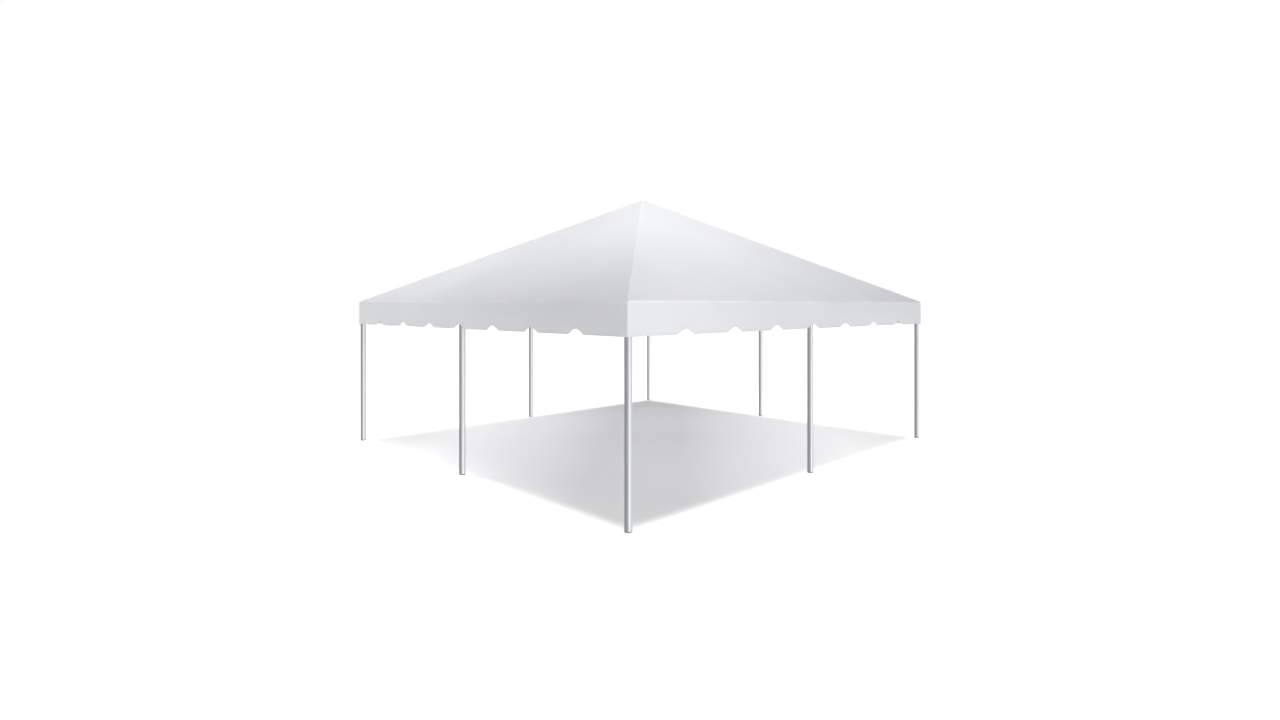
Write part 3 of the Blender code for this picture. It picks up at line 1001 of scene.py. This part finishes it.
def sleeve_end(reach, tube_start, s):
    """The outer half of a sleeve's profile: its wall, its rounded mouth, and its bore."""
    bore, r, lip = TUBE_RADIUS + s.bore, SLEEVE_RADIUS, s.lip
    return (
        (reach - 3 * lip, r), (reach - lip, r), (reach - 0.3 * lip, r - 0.3 * lip),
        (reach, r - lip), (reach, bore + lip / 2), (reach - lip / 2, bore),
        (reach - 2 * lip, bore), (tube_start - 0.001, bore), (tube_start - 0.001, 0),
    )


def fitting_mesh(name, centre, ways, through, tube_start, reach, closest, s, materials):
    """Sleeves that run out of one centre, with a weld bead where two of them meet.

    Each is a turned profile, and a ball joins them. ways are the sleeves' directions, and through
    is a direction that has a sleeve at both ends. Two sleeves get a bead if the cosine of the
    angle between them is over closest.
    """
    end, r = sleeve_end(reach, tube_start, s), SLEEVE_RADIUS
    # Radii differ by a fraction of a millimetre, since faces in one place don't unite cleanly
    start = ((-0.001, 0), (-0.001, r - 0.0002), (0.002, r))
    shells = [lathe(centre, way, (*start, *end)) for way in ways]
    if through is not None:
        both = [(-along, radius) for along, radius in end[::-1]] + list(end)
        shells.append(lathe(centre, through, both))
        ways = [*ways, through, -through]
    tilt = np.linspace(0, math.pi, 17)
    ball = (r - 0.0003) * np.stack((-np.cos(tilt), np.sin(tilt)), 1)
    ball[[0, -1], 1] = 0
    shells.append(lathe(centre, UP, ball))
    for n, a in enumerate(ways):
        for b in ways[n + 1 :]:
            if closest < a @ b:
                arc = centre + weld_arc(a, b, r - s.bead_depth)
                side = unit(np.cross(np.cross(a, b), a + b))
                shells.append(sweep(arc, round_section(s.bead), side, slot=1))
    return unite(name, shells, materials)


def pin_shells(centre, way, inward, reach, s):
    """A locking pin across a sleeve, with a domed head and a pull ring hanging from it.

    The pin is a turned profile that points inwards and down, made square to the sleeve. The ring
    is a circle that hangs straight down from the head.
    """
    aim = inward - UP
    aim = unit(aim - (aim @ way) * way)
    # The tip stands 0.6 mm out of the sleeve, and the head is measured from 0.5 mm above it
    tip, base = 0.0006, 0.0005
    start = centre + (reach - s.pin_inset) * way - (SLEEVE_RADIUS + tip) * aim
    tall = 2 * SLEEVE_RADIUS + tip + base
    pin = ((0, 0), (0, s.pin - tip), (tip, s.pin), (tall - 0.001, s.pin))
    head = (
        (-0.001, 0.008), (0.002, 0.008), (0.0027, 0.0072), (0.003, 0.0045), (0.009, 0.0045),
        (0.0115, 0.0032), (0.0122, 0),
    )
    pin += tuple((tall + along, radius) for along, radius in head)
    # The ring runs through the head at 7.5 mm
    hole = start + (tall + 0.0075) * aim
    flat = unit(np.cross(aim, UP)) if abs(aim[2]) < 0.999 else way
    ring = hole - s.ring * UP + s.ring * circle(flat, UP, 28)
    wire = round_section(0.0013, 8)
    return [lathe(start, aim, pin, sides=20), sweep(ring, wire, np.cross(flat, UP), closed=True)]


class TENT_OT_fittings(bpy.types.Operator):
    """Weld up the corner, side and crown fittings, and pin the tubes into them"""

    bl_idname = "tent.fittings"
    bl_label = "Fittings"

    def execute(self, context):
        s = context.scene.tent_frame
        metals = [
            brushed_sleeve("brushed_welded_aluminium", s.sleeve_dark, s.sleeve_light),
            weld_bead("hand_laid_aluminium_weld", s.sleeve_dark, s.tube_light),
        ]
        zinc = zinc_plate("bright_zinc_plated_steel", s.zinc_dark, s.zinc_light)
        from_crown, crown_pins = [], []
        for k, side in enumerate(SIDES):
            out, onward = side_directions(k)
            middle, corner, _ = frame_joints(k)
            up_hip, up_slope = unit(CROWN - corner), unit(CROWN - middle)
            from_crown += [-up_slope, -up_hip]
            for kind, name, place, ways, through, inward in (
                ("corner", CORNERS[k], corner, [-onward, -out, -UP, up_hip], None, -out - onward),
                ("side", side, middle, [-UP, up_slope], onward, -out),
            ):
                name, node = f"{kind}_sleeves_{name}", f"{kind}_fitting_{name}"
                size = (TUBE_START, SLEEVE_REACH, WIDEST_WELD)
                mesh = fitting_mesh(name, place, ways, through, *size, s, metals)
                place_piece(name, mesh, [node])
                ends = ways if through is None else [*ways, through, -through]
                inward = unit(inward)
                shells = sum((pin_shells(place, way, inward, SLEEVE_REACH, s) for way in ends), [])
                make_piece(name.replace("sleeves", "pins"), shells, [zinc], [])
        size = (CROWN_TUBE_START, CROWN_REACH, WIDEST_CROWN_WELD)
        mesh = fitting_mesh("crown_sleeves", CROWN, from_crown, None, *size, s, metals)
        place_piece("crown_sleeves", mesh, ["crown_fitting"])
        for way in from_crown:
            crown_pins += pin_shells(CROWN, way, unit(-way * (1, 1, 0)), CROWN_REACH, s)
        make_piece("crown_pins", crown_pins, [zinc], [])
        return {"FINISHED"}


class TENT_OT_stage(bpy.types.Operator):
    """Set the floor, the lights, the white room and the camera"""

    bl_idname = "tent.stage"
    bl_label = "Stage"

    def execute(self, context):
        scene, s = context.scene, context.scene.tent_stage
        scene.view_settings.view_transform = "Standard"
        set_world(scene, s)
        set_floor(scene, s)
        set_lights(scene, s)
        set_camera(scene, s)
        return {"FINISHED"}


# Brightness of the room round the metal, by compass angle: 0 is the left, and half a turn the right
ROOM_STOPS = (
    (0, 0.37), (0.09, 0.36), (0.20, 0.38), (0.30, 0.48), (0.39, 0.70), (0.455, 1.25),
    (0.52, 1.30), (0.57, 1.00), (0.70, 0.80), (0.80, 0.76), (0.92, 0.50), (1, 0.37),
)


def set_world(scene, s):
    """A white room. Metal mirrors its walls bright on the right and dim on the left.

    The walls that it mirrors fade to a dim ceiling, so that the roof's sheen stays soft.
    """
    world = bpy.data.worlds.new("white_room")
    scene.world = world
    world.use_nodes = True
    tree = world.node_tree
    tree.nodes.clear()
    x, y, z = add_node(tree, "SeparateXYZ", {0: add_node(tree, "TexCoord")["Generated"]})
    azimuth = add_node(tree, "Math", {0: y, 1: x}, operation="ARCTAN2")[0]
    turn = add_node(tree, "MapRange", {0: azimuth, 1: -math.pi, 2: math.pi})[0]
    ramp = add_node(tree, "ValToRGB", {0: turn})[0]
    stops = ramp.node.color_ramp.elements
    for n, (where, bright) in enumerate(ROOM_STOPS):
        stop = stops[0] if n == 0 else stops.new(where)
        stop.position = where
        stop.color = (bright, bright, bright, 1)
    # z is the sine of the angle above level
    fade = {0: z, 1: 0.04, 2: 0.3, 3: s.mirrored, 4: 0.25 * s.mirrored}
    wall = {"Color": ramp, "Strength": add_node(tree, "MapRange", fade)[0]}
    wall = add_node(tree, "Background", wall)[0]
    white = add_node(tree, "Background", {"Color": (1, 1, 1, 1), "Strength": 1})[0]
    ray = add_node(tree, "LightPath")
    shine = add_node(tree, "MixShader", {0: ray["Is Glossy Ray"], 2: wall})[0]
    view = add_node(tree, "MixShader", {0: ray["Is Camera Ray"], 1: shine, 2: white})[0]
    add_node(tree, "OutputWorld", {"Surface": view})


def set_floor(scene, s):
    """A round matt floor that glows, with a painted shadow under the tent.

    What lights the tent is a glow that grows with the distance from the tent's middle. What the
    camera sees is a painted shadow: a square with soft edges as wide as the tent, and white outside
    it. In the square the painted tone grows with |x + y|, to the left and right corners, and a
    little with |x - y|.
    square the tone grows with |x + y|, to the left and right corners, and a little with |x - y|.
    """
    mesh = bpy.data.meshes.new("floor")
    mesh.from_pydata(FLOOR_REACH * circle((1, 0, 0), (0, 1, 0), 96), [], [range(96)])
    floor = bpy.data.objects.new("floor", mesh)
    scene.collection.objects.link(floor)
    material, tree, place = new_material("matt_white_studio_floor_with_painted_shadow")
    looks = tree.nodes["Principled BSDF"].inputs
    looks["Roughness"].default_value = 0.9
    looks["Specular IOR Level"].default_value = 0
    looks["Base Color"].default_value = s.floor
    looks["Emission Color"].default_value = (1, 1, 1, 1)
    away = add_node(tree, "VectorMath", {0: place["Object"]}, operation="LENGTH")["Value"]
    near, far = GLOW_RISE
    glow = add_node(tree, "MapRange", {0: away, 1: near, 2: far, 3: s.floor_glow, 4: 1})[0]
    x, y, _ = add_node(tree, "SeparateXYZ", {0: place["Object"]})
    # The painted shadow: its tone under the middle, painted lighter to the left and right and to
    # the near and far corners
    inner = s.painted_shadow_tone
    for way, more, (start, end) in (
        ("ADD", s.painted_shadow_spill, SPILL_RISE), ("SUBTRACT", s.painted_shadow_lift, LIFT_RISE),
    ):
        total = add_node(tree, "Math", {0: x, 1: y}, operation=way)[0]
        total = add_node(tree, "Math", {0: total}, operation="ABSOLUTE")[0]
        grown = add_node(tree, "MapRange", {0: total, 1: start, 2: end, 4: more})[0]
        inner = add_node(tree, "Math", {0: inner, 1: grown}, operation="ADD")[0]
    wide, deep = (add_node(tree, "Math", {0: n}, operation="ABSOLUTE")[0] for n in (x, y))
    edge = add_node(tree, "Math", {0: wide, 1: deep}, operation="MAXIMUM")[0]
    start, end = SHADE_EDGE
    fade = {0: edge, 1: start, 2: end, 3: inner, 4: 1}
    square = add_node(tree, "MapRange", fade, interpolation_type="SMOOTHSTEP")[0]
    # The camera sees the painted shadow, and every other ray sees the glow that lights the tent
    seen = {0: add_node(tree, "LightPath")["Is Camera Ray"], 2: glow, 3: square}
    tree.links.new(add_node(tree, "Mix", seen)[0], looks["Emission Strength"])
    mesh.materials.append(material)
    floor.visible_glossy = False


# The soft panels: name, place, height that they are aimed at over the middle, width and watts
PANELS = (
    ("back_right_panel", (2, 2, 8), 2, 4, 159),
    ("back_left_panel", (-2, 2, 6), 2, 3, 16.5),
    ("front_left_panel", (-3, -4, 6), 2, 2, 101),
    ("near_right_panel", (3.5, -2.5, 5.5), 2, 2, 20.5),
    ("near_top_panel", (1.5, -1.5, 5.5), 2, 2, 20.5),
    ("near_panel", (4.7, -3.1, 4.1), 2, 1.5, 14.5),
    ("low_near_panel", (7.8, -4.5, 1.1), 1.1, 1.6, 58),
    ("low_right_panel", (8.7, 2.3, 1.1), 1.1, 1.6, 66),
    ("low_left_panel", (-4.5, -7.8, 1.1), 1.1, 1.6, 34.5),
    ("low_front_panel", (0, -6, 1.1), 1.1, 1.6, 10),
)


def set_lights(scene, s):
    """A broad soft light straight overhead, and soft panels above and low round the tent."""
    sun = bpy.data.lights.new("overhead", "SUN")
    sun.energy = s.overhead
    sun.angle = math.radians(12)
    scene.collection.objects.link(bpy.data.objects.new("overhead", sun))
    for name, place, aim, size, power in PANELS:
        panel = bpy.data.lights.new(name, "AREA")
        panel.energy = power * s.panels
        panel.size = size
        light = bpy.data.objects.new(name, panel)
        light.location = place
        scene.collection.objects.link(light)
        way = Vector((0, 0, aim)) - Vector(place)
        light.rotation_euler = way.to_track_quat("-Z", "Y").to_euler()
        light.visible_glossy = False
        light.visible_camera = False


def set_camera(scene, s):
    """The photograph's viewpoint: level, at head height, looking over the near corner."""
    data = bpy.data.cameras.new("camera")
    data.sensor_width = 36
    data.lens = s.lens
    data.shift_x, data.shift_y = s.shift
    data.clip_end = 200
    camera = bpy.data.objects.new("camera", data)
    camera.location = s.eye
    camera.rotation_euler = (QUARTER, 0, s.yaw)
    scene.collection.objects.link(camera)
    scene.camera = camera


class TENT_PT_panel(bpy.types.Panel):
    """The tent's makers, in the order in which they are used"""

    bl_idname = "TENT_PT_panel"
    bl_label = "Frame Tent"
    bl_space_type = "VIEW_3D"
    bl_region_type = "UI"
    bl_category = "Frame Tent"

    def draw(self, context):
        for operator in OPERATORS:
            self.layout.operator(operator.bl_idname)


OPERATORS = (
    TENT_OT_rails,
    TENT_OT_fittings,
    TENT_OT_legs,
    TENT_OT_roof,
    TENT_OT_valances,
    TENT_OT_stage,
)
GROUPS = {"tent_fabric": TentFabric, "tent_frame": TentFrame, "tent_stage": TentStage}


def register():
    for name, group in GROUPS.items():
        bpy.utils.register_class(group)
        setattr(bpy.types.Scene, name, bpy.props.PointerProperty(type=group))
    for item in (*OPERATORS, TENT_PT_panel):
        bpy.utils.register_class(item)


def unregister():
    for item in (TENT_PT_panel, *reversed(OPERATORS)):
        bpy.utils.unregister_class(item)
    for name, group in GROUPS.items():
        delattr(bpy.types.Scene, name)
        bpy.utils.unregister_class(group)


def main():
    register()
    bpy.ops.tent.rails()
    bpy.ops.tent.fittings()
    bpy.ops.tent.legs()
    bpy.ops.tent.roof()
    bpy.ops.tent.valances()
    bpy.ops.tent.stage()


if __name__ == "__main__":
    main()
